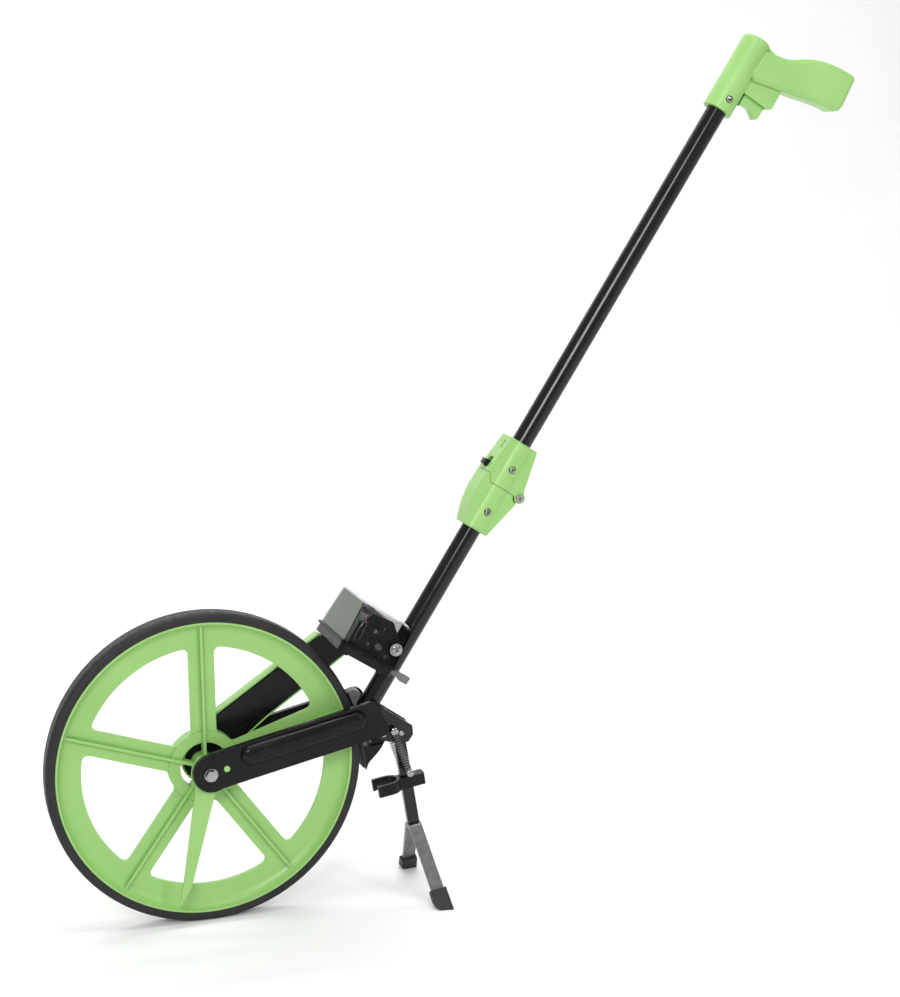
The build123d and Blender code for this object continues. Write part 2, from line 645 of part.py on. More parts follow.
def joint_block():
    """The whole rounded casing before it is parted."""
    with BuildPart() as block:
        slab(HOUSING, -HOUSING_HALF, HOUSING_HALF, tube_view)
        flat = block.faces().sort_by(Axis.Y)
        fillet(flat[0].edges() + flat[-1].edges(), 4)
        with BuildSketch(across(330)) as envelope:
            Circle(HOUSING_HALF)
            Rectangle(80, 2 * FLAT_HALF)
        extrude(envelope.sketch, amount=130, mode=Mode.INTERSECT)
    return block.part


with BuildPart() as lower_housing:
    add(joint_block())
    slab(LOWER_SIDE, -20, 20, tube_view, mode=Mode.INTERSECT)
    for side in (-1, 1):
        disc(HINGE, SWING_R, *sorted((side * KNUCKLE_HALF, side * 20)), tube_view, mode=Mode.SUBTRACT)
    disc(HINGE, KNUCKLE_R - 0.4, -KNUCKLE_HALF, KNUCKLE_HALF, tube_view)
    slab([(380, -14), (391.4, -14), (391.4, -18.5), (388, -27), (384, -24)], -KNUCKLE_HALF, KNUCKLE_HALF, tube_view)
    disc(HINGE, 2.5, -20, 20, tube_view, mode=Mode.SUBTRACT)
    rod(across(340), TUBE_R, LOWER_TUBE[1] - 340, mode=Mode.SUBTRACT)
    rod(across(386, WIRE_Q), 2.0, 20, mode=Mode.SUBTRACT)
    disc(LOWER_SCREW, 1.5, -20, 20, tube_view, mode=Mode.SUBTRACT)
    for side in (-1, 1):
        disc(LOWER_SCREW, 3.9, *sorted((side * 15.8, side * 20)), tube_view, mode=Mode.SUBTRACT)

with BuildPart() as upper_housing:
    add(joint_block())
    slab(UPPER_SIDE, -20, 20, tube_view, mode=Mode.INTERSECT)
    for side in (-1, 1):
        disc(HINGE, KNUCKLE_R, *sorted((side * (KNUCKLE_HALF + SIDE_GAP), side * FLAT_HALF)), tube_view)
    disc(HINGE, SWING_R, -KNUCKLE_HALF - SIDE_GAP, KNUCKLE_HALF + SIDE_GAP, tube_view, mode=Mode.SUBTRACT)
    disc(HINGE, 2.5 + RUNNING, -20, 20, tube_view, mode=Mode.SUBTRACT)
    rod(across(UPPER_TUBE[0]), TUBE_R, 60, mode=Mode.SUBTRACT)
    rod(across(386, WIRE_Q), 2.0, 20, mode=Mode.SUBTRACT)
    slab([(LATCH[0] - 0.4, 17.0), (LATCH[1] + LATCH_TRAVEL + 0.4, 17.0), (LATCH[1] + LATCH_TRAVEL + 0.4, 30.0),
          (LATCH[0] - 0.4, 30.0)], -5.3, 5.3, tube_view, mode=Mode.SUBTRACT)
    slab([(427.5, 15.5), (437.0, 15.5), (437.0, 22.0), (427.5, 22.0)], -5.4, -3.0, tube_view, mode=Mode.SUBTRACT)
    disc(UPPER_SCREW, 1.5, -20, 20, tube_view, mode=Mode.SUBTRACT)
    for side in (-1, 1):
        disc(UPPER_SCREW, 3.9, *sorted((side * 15.8, side * 20)), tube_view, mode=Mode.SUBTRACT)

NEAR = Keep.TOP
FAR = Keep.BOTTOM

for name, side, whole in (("lower_housing_near", NEAR, lower_housing), ("lower_housing_far", FAR, lower_housing),
                          ("upper_housing_near", NEAR, upper_housing), ("upper_housing_far", FAR, upper_housing)):
    with BuildPart() as half:
        add(whole.part)
        split(bisect_by=Plane.XZ, keep=side)
    save(half, name)

for name, centre in (("lower_housing_screws", LOWER_SCREW), ("upper_housing_screws", UPPER_SCREW)):
    with BuildPart() as screws:
        screw(centre, -15.8, 6.8, 1, tube_view)
        screw(centre, 15.8, 6.8, -1, tube_view)
    save(screws, name)

with BuildPart() as hinge_pin:
    disc(HINGE, 2.5, -FLAT_HALF, FLAT_HALF, tube_view)
    disc(HINGE, 3.9, -FLAT_HALF - 1.6, -FLAT_HALF, tube_view)
    disc(HINGE, 3.9, FLAT_HALF, FLAT_HALF + 1.6, tube_view)
    disc(HINGE, 1.6, -FLAT_HALF - 1.6, -FLAT_HALF - 0.3, tube_view, mode=Mode.SUBTRACT)
save(hinge_pin, "hinge_pin")

with BuildPart() as latch_button:
    slab([(LATCH[0], 17.4), (LATCH[1], 17.4), (LATCH[1], 22.4), (LATCH[0], 22.4)], -5.0, 5.0, tube_view)
    slab([(LATCH[0], 22.4), (LATCH[1], 22.4), (LATCH[1] - 0.6, 27.2), (LATCH[0] + 0.4, 27.2)], -5.0, 5.0,
         tube_view)
    for groove in (405.4, 407.2, 409.0):
        slab([(groove, 26.4), (groove + 0.9, 26.4), (groove + 0.9, 28), (groove, 28)], -6, 6, tube_view,
             mode=Mode.SUBTRACT)
save(latch_button, "latch_button")

# ================================================================ handle
BARREL_R = 15.5
BARREL_S = (840.5, 925.0)
GRIP_HALF = 14.0
GUARD_HALF = 9.0
TRIGGER_HALF = 5.2
TRIGGER_TOP = 869.6
STEM_TOP = 880.0
GRIP_SCREWS = [(926.0, -96.0), (912.0, -52.0)]
TUBE_SCREW = (853.6, 0.0)
STEM = [(TRIGGER_TOP, -16.2), (STEM_TOP, -16.2), (STEM_TOP, -40.0), (TRIGGER_TOP, -40.0)]

with BuildPart() as grip:
    with BuildSketch(tube_view(GRIP_HALF)) as grip_side:
        with BuildLine():
            top = Spline((918.0, -8.0), (921.5, -24.0), (925.2, -36.5), (935.6, -52.0), (945.9, -74.0),
                         (950.5, -94.0), (952.0, -109.5))
            Polyline(top @ 1, (949.4, -112.8), (919.0, -116.0), (912.5, -114.2), (908.8, -109.5))
            heel = Spline((908.8, -109.5), (908.4, -105.0), (907.2, -98.0), (901.0, -75.0), (893.5, -48.5),
                          (884.0, -14.0))
            Line(heel @ 1, (890.0, -5.0))
            Line((890.0, -5.0), (918.0, -8.0))
        make_face()
    extrude(amount=2 * GRIP_HALF)
    flat = grip.faces().sort_by(Axis.Y)
    fillet(flat[0].edges() + flat[-1].edges(), 4.8)
    rod(across(BARREL_S[0]), BARREL_R, BARREL_S[1] - BARREL_S[0])
    fillet(grip.edges().filter_by(GeomType.CIRCLE).sort_by(ALONG_TUBE)[-1], 4)
    slab([(TRIGGER_TOP + 0.3, -10), (TRIGGER_TOP + 0.3, -45.5), (873.0, -48.8), (876.0, -48.8), (899.0, -48.0),
          (892.0, -10)], -GUARD_HALF, GUARD_HALF, tube_view, radius=1.2)
    rod(across(BARREL_S[0]), TUBE_R, UPPER_TUBE[1] - BARREL_S[0], mode=Mode.SUBTRACT)
    slab([(866, -8), (892, -8), (892, -42.8), (866, -42.8)], -TRIGGER_HALF - 0.3, TRIGGER_HALF + 0.3, tube_view,
         mode=Mode.SUBTRACT)
    slab([(921, -44), (929, -54), (940, -76), (944, -105), (918, -108), (903, -52)], -10, 10, tube_view,
         mode=Mode.SUBTRACT)
    for centre in GRIP_SCREWS:
        disc(centre, 4.5, -10.5, 10.5, tube_view)
        disc(centre, 1.5, -9, 20, tube_view, mode=Mode.SUBTRACT)
        disc(centre, 3.9, 12.4, 20, tube_view, mode=Mode.SUBTRACT)
    disc(TUBE_SCREW, 1.5, -20, 20, tube_view, mode=Mode.SUBTRACT)
    for side in (-1, 1):
        disc(TUBE_SCREW, 3.9, *sorted((side * 14.2, side * 20)), tube_view, mode=Mode.SUBTRACT)

for name, side in (("grip_near", NEAR), ("grip_far", FAR)):
    with BuildPart() as half:
        add(grip.part)
        split(bisect_by=Plane.XZ, keep=side)
    save(half, name)

with BuildPart() as grip_screws:
    screw(TUBE_SCREW, -14.2, 5.2, 1, tube_view)
    screw(TUBE_SCREW, 14.2, 5.2, -1, tube_view)
    for centre in GRIP_SCREWS:
        screw(centre, 12.4, 20.0, -1, tube_view)
save(grip_screws, "grip_screws")

with BuildPart() as trigger:
    with BuildSketch(tube_view(TRIGGER_HALF)) as lever:
        with BuildLine():
            Polyline((857.0, -16.2), (TRIGGER_TOP, -16.2), (TRIGGER_TOP, -42.4), (857.0, -42.0),
                     (855.0, -40.6), (854.6, -38.6))
            Spline((854.6, -38.6), (858.4, -33.6), (860.6, -28.0), (859.6, -21.5), (857.0, -16.2))
        make_face()
    extrude(amount=2 * TRIGGER_HALF)
    slab(STEM, -TRIGGER_HALF, TRIGGER_HALF, tube_view)
    slab([(876, -17), (STEM_TOP, -17), (STEM_TOP, 8.6), (876, 8.6)], -3.0, 3.0, tube_view)
    rod(across(875, WIRE_Q), WIRE_R, 10, mode=Mode.SUBTRACT)
save(trigger, "trigger")

with BuildPart() as trigger_spring:
    rod(across(STEM_TOP, -30.0), 3.0, 892.0 - STEM_TOP, 2.0)
save(trigger_spring, "trigger_spring")

# ================================================================ stand
LEG_HALF_WIDTH = 6.0
STRUT_HALF = 3.0
FOOT_RUN = 73.8
FOOT_SPREAD = 62.0
BAR = 3.2
BAR_HALF_WIDTH = 6.5
CAP_HALF_WIDTH = 8.5
CLIP = (50.5, 62.5)
CLIP_CENTRE = -20.5
CLIP_IN = TUBE_R + 0.1
CLIP_OUT = CLIP_IN + 3.2

with BuildPart() as stand_strut:
    slab([(0, -LEG_HALF_WIDTH), (LEG_LENGTH - 0.6, -LEG_HALF_WIDTH), (LEG_LENGTH - 0.6, LEG_HALF_WIDTH),
          (0, LEG_HALF_WIDTH)],
         -STRUT_HALF, STRUT_HALF, leg_view)
    disc((0, 0), 7.0, -STRUT_HALF, STRUT_HALF, leg_view)
    disc((0, 0), 5.0, -PLATE_IN + 0.2, PLATE_IN - 0.2, leg_view)
    disc((0, 0), 2.5 + RUNNING, -20, 20, leg_view, mode=Mode.SUBTRACT)
    disc(LEG_STUD, 2.5, -20, 20, leg_view, mode=Mode.SUBTRACT)
save(stand_strut, "stand_strut")

with BuildPart() as lower_spring_pin:
    disc(LEG_STUD, 2.5, -18.2, 18.2, leg_view)
    disc(LEG_STUD, 3.6, -20.0, -18.2, leg_view)
    disc(LEG_STUD, 3.6, 18.2, 20.0, leg_view)
save(lower_spring_pin, "lower_spring_pin")

clip_angle = radians(LEG_LEAN)
clip_origin = (AXLE_X + PIVOT[0] + CLIP[0] * sin(clip_angle), 0, AXLE_Z + PIVOT[1] - CLIP[0] * cos(clip_angle))
clip_plane = Plane(clip_origin, x_dir=(cos(clip_angle), 0, sin(clip_angle)),
                   z_dir=(sin(clip_angle), 0, -cos(clip_angle)))

with BuildPart() as stand_clip:
    with BuildSketch(clip_plane):
        with Locations((CLIP_CENTRE, 0)):
            Circle(CLIP_OUT)
        with Locations((CLIP_CENTRE - 6.5, 0)):
            Rectangle(13, 2 * CLIP_OUT)
        with Locations((0.5, 0)):
            RectangleRounded(22, 14, 2)
        with Locations((12.0, 0)):
            RectangleRounded(14, 14, 2)
        with Locations((CLIP_CENTRE, 0)):
            Circle(CLIP_IN, mode=Mode.SUBTRACT)
        with Locations((CLIP_CENTRE - 8, 0)):
            Rectangle(16, 2 * CLIP_IN, mode=Mode.SUBTRACT)
        for side in (-1, 1):
            with Locations((CLIP_CENTRE - 12, side * (CLIP_IN - 0.3))):
                Circle(1.3)
    extrude(amount=CLIP[1] - CLIP[0])
    slab([(40, -LEG_HALF_WIDTH), (80, -LEG_HALF_WIDTH), (80, LEG_HALF_WIDTH), (40, LEG_HALF_WIDTH)],
         -STRUT_HALF, STRUT_HALF, leg_view, mode=Mode.SUBTRACT)
save(stand_clip, "stand_clip")

apex_x = PIVOT[0] + LEG_LENGTH * sin(clip_angle)
apex_z = PIVOT[1] - LEG_LENGTH * cos(clip_angle)
drop = WHEEL_R + apex_z
run_x = (FOOT_RUN ** 2 - drop ** 2) ** 0.5


def yoke_view(width):
    """Plane of the two legs, moved sideways: x runs down from the strut's end, y is +Y."""
    down = Vector(run_x, 0, -drop) / FOOT_RUN
    side = Vector(-down.Z, 0, down.X)
    return Plane(Vector(AXLE_X + apex_x, 0, AXLE_Z + apex_z) + side * width,
                 x_dir=(down.X, 0, down.Z), z_dir=(side.X, 0, side.Z))


along = Vector(FOOT_RUN, FOOT_SPREAD - 4.0) / Vector(FOOT_RUN, FOOT_SPREAD - 4.0).length
inward = Vector(along.Y, -along.X)
leg_start = Vector(0, 6.5)
leg_end = leg_start + along * 89.5


def leg_outline(side):
    """Profile of one leg, from the strut's end down to its foot."""
    corners = [Vector(0, 0.05), leg_start, leg_end, leg_end + inward * BAR, Vector(6.2, 7.2), Vector(4.2, 0.05)]
    return [(corner.X, side * corner.Y) for corner in corners]


def cap_outline(side):
    """Profile of one foot cap, before the floor cuts it."""
    top = leg_end - along * 17 + inward * BAR / 2
    low = leg_end + along * 14 + inward * BAR / 2
    corners = [top - inward * 4.6, low - inward * 5.6, low + inward * 5.6, top + inward * 4.6]
    return [(corner.X, side * corner.Y) for corner in corners]


with BuildPart() as stand_legs:
    for side in (-1, 1):
        with BuildSketch(yoke_view(-BAR_HALF_WIDTH)):
            Polygon(*leg_outline(side), align=None)
        extrude(amount=2 * BAR_HALF_WIDTH)
save(stand_legs, "stand_legs")

with BuildPart() as stand_feet:
    for side in (-1, 1):
        with BuildSketch(yoke_view(-CAP_HALF_WIDTH)):
            Polygon(*cap_outline(side), align=None)
        extrude(amount=2 * CAP_HALF_WIDTH)
    fillet(stand_feet.edges().filter_by(lambda edge: abs(edge.tangent_at(0.5).dot(yoke_view(0).z_dir)) > 0.99), 1.5)
    slab([(200, -150.0), (213, -150.0), (225.0, -WHEEL_R - 0.5), (225.0, -200), (200, -200)], -90, 90,
         mode=Mode.SUBTRACT)
    split(bisect_by=Plane.XY, keep=Keep.TOP)
    add(stand_legs.part, mode=Mode.SUBTRACT)
save(stand_feet, "stand_feet")

# ================================================================ stand springs
leg_stud_x = PIVOT[0] + LEG_STUD[0] * sin(clip_angle) + LEG_STUD[1] * cos(clip_angle)
leg_stud_z = PIVOT[1] - LEG_STUD[0] * cos(clip_angle) + LEG_STUD[1] * sin(clip_angle)
spring_run = Vector(leg_stud_x - SPRING_STUD[0], 0, leg_stud_z - SPRING_STUD[1])
SPRING_R = 3.1

with BuildPart() as stand_springs:
    for side in (-1, 1):
        start = Vector(AXLE_X + SPRING_STUD[0], side * 16.4, AXLE_Z + SPRING_STUD[1])
        direction = spring_run / spring_run.length
        spring_plane = Plane(start + direction * 4.3, x_dir=(0, 1, 0),
                             z_dir=(direction.X, direction.Y, direction.Z))
        rod(spring_plane, SPRING_R, spring_run.length - 8.6, SPRING_R - 1.0)
save(stand_springs, "stand_springs")
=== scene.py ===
"""Looks of a folding measuring wheel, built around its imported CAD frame.

Lengths are in metres, in the frame's own axes: +Z up, +X towards the grip, wheel axle along Y.
"""

import json
import math
from math import cos, pi, radians, sin

import bmesh
import bpy
import numpy as np
from mathutils import Matrix, Vector


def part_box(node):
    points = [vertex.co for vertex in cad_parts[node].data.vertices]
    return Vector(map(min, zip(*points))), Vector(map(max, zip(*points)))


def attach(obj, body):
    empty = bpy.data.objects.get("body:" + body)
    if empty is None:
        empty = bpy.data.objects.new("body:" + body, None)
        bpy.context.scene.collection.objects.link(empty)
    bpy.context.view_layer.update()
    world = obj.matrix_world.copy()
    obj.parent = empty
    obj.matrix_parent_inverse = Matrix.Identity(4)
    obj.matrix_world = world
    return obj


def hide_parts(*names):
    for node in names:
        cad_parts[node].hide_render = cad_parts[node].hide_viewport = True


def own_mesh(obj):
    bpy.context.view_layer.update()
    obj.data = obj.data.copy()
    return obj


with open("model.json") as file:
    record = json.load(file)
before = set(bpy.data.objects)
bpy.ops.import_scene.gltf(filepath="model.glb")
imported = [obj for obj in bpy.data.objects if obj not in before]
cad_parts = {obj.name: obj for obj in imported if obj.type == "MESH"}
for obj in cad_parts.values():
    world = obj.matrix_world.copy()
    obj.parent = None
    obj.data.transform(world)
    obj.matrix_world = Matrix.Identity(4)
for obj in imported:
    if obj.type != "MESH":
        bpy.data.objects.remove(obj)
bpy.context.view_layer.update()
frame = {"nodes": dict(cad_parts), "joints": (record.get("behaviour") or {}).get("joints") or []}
nodes = frame["nodes"]
joints = {joint["name"]: joint for joint in frame["joints"]}

# ---------------------------------------------------------------- places, worked out from the frame
AXLE = Vector(joints["wheel_spin"]["pos_m"])
DRUM_AXLE = Vector(joints["counter_input_spin"]["pos_m"])
TUBE = Vector(joints["trigger_pull"]["axis"]).normalized()
FRONT = Vector((-TUBE.z, 0, TUBE.x))
SIDE = Vector((0, 1, 0))

# ---------------------------------------------------------------- sizes in metres
TUBE_OFFSET = 0.1186            # how far the axle lies in front of the tube's centre line
HOOD_FLANGE = 0.1812            # top edge of the hood's flange, from the axle along TUBE
FRONT_PLATE = -0.0515           # back of the counter's front plate, from the axle along FRONT
NEAR_PLATE = -0.035             # outer face of the near counter plate, from the axle along SIDE

TYRE_DEPTH = 0.0092
RIDGE_START = Vector((0.0405, 0.0165))
RIDGE_END = Vector((0.1505, 0.0400))
RIDGE_HALF_WIDTH = 0.0102
SCREW_HEAD = 0.0022
RIVET_DOME = 0.0008

STRUT_LENGTH = 0.103
STRUT_LEAN = radians(8.6)
LEG_RUN = 0.0738                # from the knee to the foot, seen from the side
LEG_SPREAD = 0.058              # how far the foot stands out over that run
LEG_LENGTH = 0.0895
LEG_BAR = 0.0032                # thickness of the bent bar
LEG_BAR_HALF = 0.0065           # half its width
KNEE_RADIUS = 0.0052

FIGURE_HEIGHT = 0.0085
FIGURE_RELIEF = 0.00006


# ---------------------------------------------------------------- material helpers
class Nodes:
    """Builds one material's node tree with short calls."""

    def __init__(self, name):
        self.material = bpy.data.materials.new(name)
        self.material.use_nodes = True
        self.tree = self.material.node_tree
        self.shader = self.tree.nodes["Principled BSDF"]
        self.place = self.tree.nodes.new("ShaderNodeTexCoord").outputs["Object"]

    def link(self, source, target):
        """Connect an output to a socket."""
        self.tree.links.new(source, target)

    def set(self, **values):
        """Set sockets of the shader: underscores stand for spaces."""
        for name, value in values.items():
            self.shader.inputs[name.replace("_", " ")].default_value = value

    def noise(self, scale, detail=3.0, roughness=0.5, distortion=0.0, place=None):
        """Noise in the object's own coordinates, or in those given."""
        node = self.tree.nodes.new("ShaderNodeTexNoise")
        node.inputs["Scale"].default_value = scale
        node.inputs["Detail"].default_value = detail
        node.inputs["Roughness"].default_value = roughness
        node.inputs["Distortion"].default_value = distortion
        self.link(place or self.place, node.inputs["Vector"])
        return node.outputs["Fac"]

    def stretched(self, scale):
        """Coordinates scaled differently along each axis."""
        node = self.tree.nodes.new("ShaderNodeMapping")
        node.inputs["Scale"].default_value = scale
        self.link(self.place, node.inputs["Vector"])
        return node.outputs["Vector"]

    def ramp(self, source, *stops):
        """Colour ramp: each stop is (place, grey or colour)."""
        node = self.tree.nodes.new("ShaderNodeValToRGB")
        elements = node.color_ramp.elements
        while len(elements) < len(stops):
            elements.new(0.5)
        for element, (position, value) in zip(elements, stops):
            element.position = position
            colour = value if isinstance(value, tuple) else (value, value, value)
            element.color = (*colour, 1)
        self.link(source, node.inputs["Fac"])
        return node.outputs["Color"]

    def math(self, operation, first, second):
        """Result of an operation on an output and another output or a number."""
        node = self.tree.nodes.new("ShaderNodeMath")
        node.operation = operation
        self.link(first, node.inputs[0])
        if isinstance(second, (int, float)):
            node.inputs[1].default_value = second
        else:
            self.link(second, node.inputs[1])
        return node.outputs[0]

    def mix(self, amount, first, second):
        """Blend from the first to the second colour, each an output or a colour."""
        node = self.tree.nodes.new("ShaderNodeMix")
        node.data_type = "RGBA"
        self.link(amount, node.inputs[0])
        for socket, value in ((node.inputs[6], first), (node.inputs[7], second)):
            if isinstance(value, tuple):
                socket.default_value = (*value, 1)
            else:
                self.link(value, socket)
        return node.outputs[2]

    def openness(self, distance, closed, opened):
        """Mask for painted shade: 0 in corners and 1 on open surfaces, from how much is near within a
        distance.
        """
        node = self.tree.nodes.new("ShaderNodeAmbientOcclusion")
        node.samples = 8
        node.inputs["Distance"].default_value = distance
        return self.ramp(node.outputs["AO"], (closed, 0.0), (opened, 1.0))

    def soft_edges(self, radius):
        """Normal that looks as if the edges were rounded by a radius."""
        node = self.tree.nodes.new("ShaderNodeBevel")
        node.samples = 6
        node.inputs["Radius"].default_value = radius
        return node.outputs["Normal"]

    def bump(self, height, strength, distance, under=None):
        """Fine relief on the shader's normal, over another normal."""
        node = self.tree.nodes.new("ShaderNodeBump")
        node.inputs["Strength"].default_value = strength
        node.inputs["Distance"].default_value = distance
        self.link(height, node.inputs["Height"])
        if under is not None:
            self.link(under, node.inputs["Normal"])
        self.link(node.outputs["Normal"], self.shader.inputs["Normal"])
        return node.outputs["Normal"]

    def colour(self, source):
        """Use an output as the shader's colour."""
        self.link(source, self.shader.inputs["Base Color"])

    def rough(self, source):
        """Use an output as the shader's roughness."""
        self.link(source, self.shader.inputs["Roughness"])


def moulded_plastic(name, colour, deep, roughness):
    """Injection-moulded plastic: faint flow marks, painted shade in corners and creases, fine grain, soft
    gloss.
    """
    n = Nodes(name)
    flow = n.noise(9, 3, 0.5, 0.6)
    # deeper colour used as painted shade in corners and creases
    shade = (0.5 * deep[0], 0.72 * deep[1], 0.42 * deep[2])
    paint = n.ramp(flow, (0.3, deep), (0.7, colour))
    # painted shade: the colour falls to the shade colour where the openness mask finds corners and creases
    n.colour(n.mix(n.openness(0.007, 0.25, 0.85), shade, paint))
    n.rough(n.ramp(n.noise(60, 4), (0.3, roughness - 0.05), (0.7, roughness + 0.06)))
    n.set(IOR=1.5, Specular_IOR_Level=0.5)
    orange_peel = n.bump(n.noise(260, 2), 0.12, 0.0002, n.soft_edges(0.0006))
    n.bump(n.noise(1700, 2), 0.18, 0.00008, orange_peel)
    return n.material


def black_gloss(name, roughness, shine):
    """Black enamel or gloss plastic with a slight orange peel."""
    n = Nodes(name)
    n.colour(n.ramp(n.noise(30, 4), (0.35, 0.0045), (0.75, 0.009)))
    n.rough(n.ramp(n.noise(90, 5), (0.35, roughness - 0.04), (0.75, roughness + 0.08)))
    n.set(IOR=1.45, Specular_IOR_Level=shine)
    n.bump(n.noise(420, 2), 0.06, 0.0001, n.soft_edges(0.0005))
    return n.material


def steel(name, colour, roughness, brushed=(1, 1, 1)):
    """Plated or brushed steel with fine directional scratches and painted shade in its corners."""
    n = Nodes(name)
    shade = tuple(0.75 * value for value in colour)
    unshaded_steel = n.ramp(n.noise(140, 4), (0.35, shade), (0.65, colour))
    # painted shade: near-black in corners and recesses, from the openness mask
    n.colour(n.mix(n.openness(0.0018, 0.3, 0.8), (0.02, 0.02, 0.02), unshaded_steel))
    lines = n.noise(500, 4, 0.6, 0, n.stretched(brushed))
    n.rough(n.ramp(lines, (0.3, roughness - 0.06), (0.7, roughness + 0.1)))
    n.set(Metallic=1.0)
    n.bump(lines, 0.15, 0.00008, n.soft_edges(0.0002))
    return n.material


def rubber(name, colour, roughness):
    """Matt black rubber with a fine grain."""
    n = Nodes(name)
    lighter = tuple(value * 1.6 for value in colour)
    n.colour(n.ramp(n.noise(45, 5), (0.35, colour), (0.75, lighter)))
    n.rough(n.ramp(n.noise(200, 3), (0.3, roughness - 0.1), (0.7, roughness + 0.1)))
    n.set(IOR=1.5, Specular_IOR_Level=0.35)
    n.bump(n.noise(1200, 3), 0.35, 0.0001, n.soft_edges(0.0006))
    return n.material


def figure_drum(name, band, worn):
    """Coloured band that carries the figures, between black flanks."""
    n = Nodes(name)
    geometry = n.tree.nodes.new("ShaderNodeNewGeometry")
    across = n.tree.nodes.new("ShaderNodeSeparateXYZ")
    n.link(geometry.outputs["True Normal"], across.inputs[0])
    sideways = n.math("MULTIPLY", across.outputs["Y"], across.outputs["Y"])
    paint = n.ramp(n.noise(9, 3, 0.5, 0.6), (0.3, worn), (0.7, band))
    n.colour(n.mix(n.math("GREATER_THAN", sideways, 0.5), paint, (0.006, 0.006, 0.006)))
    n.rough(n.ramp(n.noise(220, 3), (0.3, 0.34), (0.7, 0.46)))
    return n.material


def part_way(n, direction, threshold):
    """0 before and 1 beyond a distance from the axle along a direction."""
    node = n.tree.nodes.new("ShaderNodeVectorMath")
    node.operation = "DOT_PRODUCT"
    n.link(n.place, node.inputs[0])
    node.inputs[1].default_value = direction
    return n.math("GREATER_THAN", node.outputs["Value"], threshold + AXLE.dot(direction))


def smoked_plastic():
    """Clear smoked acrylic with a faint haze, and its black flange along the bottom."""
    n = Nodes("smoked_hood")
    film = n.ramp(n.noise(30, 3), (0.3, (0.60, 0.60, 0.61)), (0.7, (0.66, 0.66, 0.67)))
    clear = part_way(n, TUBE, HOOD_FLANGE)
    n.colour(n.mix(clear, (0.006, 0.006, 0.006), film))
    n.rough(n.ramp(n.noise(120, 3), (0.3, 0.015), (0.7, 0.035)))
    n.link(clear, n.shader.inputs["Transmission Weight"])
    n.set(IOR=1.2)
    return n.material


def frame_plates():
    """Black enamel plates, with the bright plate that closes the front of the counter."""
    n = Nodes("counter_plates")
    front = part_way(n, FRONT, FRONT_PLATE)
    paint = n.ramp(n.noise(60, 4), (0.35, (0.005, 0.005, 0.005)), (0.75, (0.01, 0.01, 0.01)))
    plate = n.ramp(n.noise(50, 4), (0.3, (0.26, 0.25, 0.255)), (0.7, (0.31, 0.30, 0.305)))
    n.colour(n.mix(front, paint, plate))
    n.rough(n.ramp(n.noise(160, 4), (0.3, 0.2), (0.7, 0.3)))
    n.set(IOR=1.45, Specular_IOR_Level=0.4)
    n.bump(n.noise(500, 2), 0.1, 0.0001, n.soft_edges(0.0004))
    return n.material


def dress(material, *names):
    """Give CAD nodes a material."""
    for name in names:
        mesh = nodes[name].data
        mesh.materials.clear()
        mesh.materials.append(material)


# ---------------------------------------------------------------- materials
GREEN = (0.30, 0.555, 0.165)
DEEP_GREEN = (0.265, 0.50, 0.14)

green = moulded_plastic("green_plastic", GREEN, DEEP_GREEN, 0.36)
black = black_gloss("black_plastic", 0.24, 0.22)
enamel = black_gloss("black_enamel", 0.14, 0.45)
smoke_grey = moulded_plastic("smoke_grey_plastic", (0.15, 0.155, 0.155), (0.12, 0.125, 0.125), 0.3)
white = moulded_plastic("white_plastic", (0.8, 0.8, 0.77), (0.75, 0.75, 0.72), 0.4)
plate_grey = moulded_plastic("plate_grey", (0.52, 0.53, 0.53), (0.46, 0.47, 0.47), 0.5)
figure_black = moulded_plastic("figure_black", (0.012, 0.012, 0.012), (0.009, 0.009, 0.009), 0.5)
bright = steel("bright_steel", (0.4, 0.4, 0.395), 0.16)
zinc = steel("zinc_steel", (0.27, 0.27, 0.275), 0.42, (1, 1, 14))
leg_paint = steel("leg_steel", (0.2, 0.2, 0.21), 0.36, (3, 3, 3))
bronze = steel("bronze", (0.6, 0.36, 0.15), 0.35)
tyre_rubber = rubber("tyre_rubber", (0.012, 0.012, 0.0125), 0.55)
foot_rubber = rubber("foot_rubber", (0.016, 0.016, 0.017), 0.6)
white_drum = figure_drum("white_drum", (0.75, 0.75, 0.73), (0.68, 0.68, 0.66))
red_drum = figure_drum("red_drum", (0.6, 0.03, 0.02), (0.5, 0.02, 0.015))

dress(green, "wheel_rim", "pointer", "belt_cover_outer", "lower_housing_near", "lower_housing_far",
      "upper_housing_near", "upper_housing_far", "grip_near", "grip_far", "trigger")
dress(black, "near_arm", "far_arm", "belt_cover_inner", "counter_base", "brake_shoe", "latch_button",
      "hub_pulley", "counter_pulley", "stand_clip")
dress(enamel, "bracket_plates", "stand_strut", "lower_tube", "upper_tube")
dress(frame_plates(), "counter_frame")
dress(smoke_grey, "reset_lever", "brake_arm")
dress(white_drum, "number_drum_1", "number_drum_2", "number_drum_3", "number_drum_4")
dress(red_drum, "number_drum_5")
dress(zinc, "counter_clamp", "counter_mask")
dress(bright, "axle_bolt", "axle_washers", "axle_spacers", "drum_shaft", "reset_pin", "hinge_pin",
      "lower_brake_wire", "upper_brake_wire")
dress(bronze, "hub_bushes")
dress(tyre_rubber, "drive_belt")
dress(foot_rubber, "stand_feet", "brake_pad")
dress(smoked_plastic(), "counter_hood")


# ---------------------------------------------------------------- shape helpers
def piece(name, bm, material, body, slot, *stands_for):
    """Turn a bmesh into a piece that rides on a body and stands for some CAD nodes."""
    bmesh.ops.recalc_face_normals(bm, faces=bm.faces)
    mesh = bpy.data.meshes.new(name)
    bm.to_mesh(mesh)
    bm.free()
    mesh.materials.append(material)
    for face in mesh.polygons:
        face.use_smooth = True
    mesh.set_sharp_from_angle(angle=radians(32))
    made = bpy.data.objects.new(name, mesh)
    bpy.context.scene.collection.objects.link(made)
    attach(made, body)
    if stands_for:
        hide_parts(*stands_for)
    return made


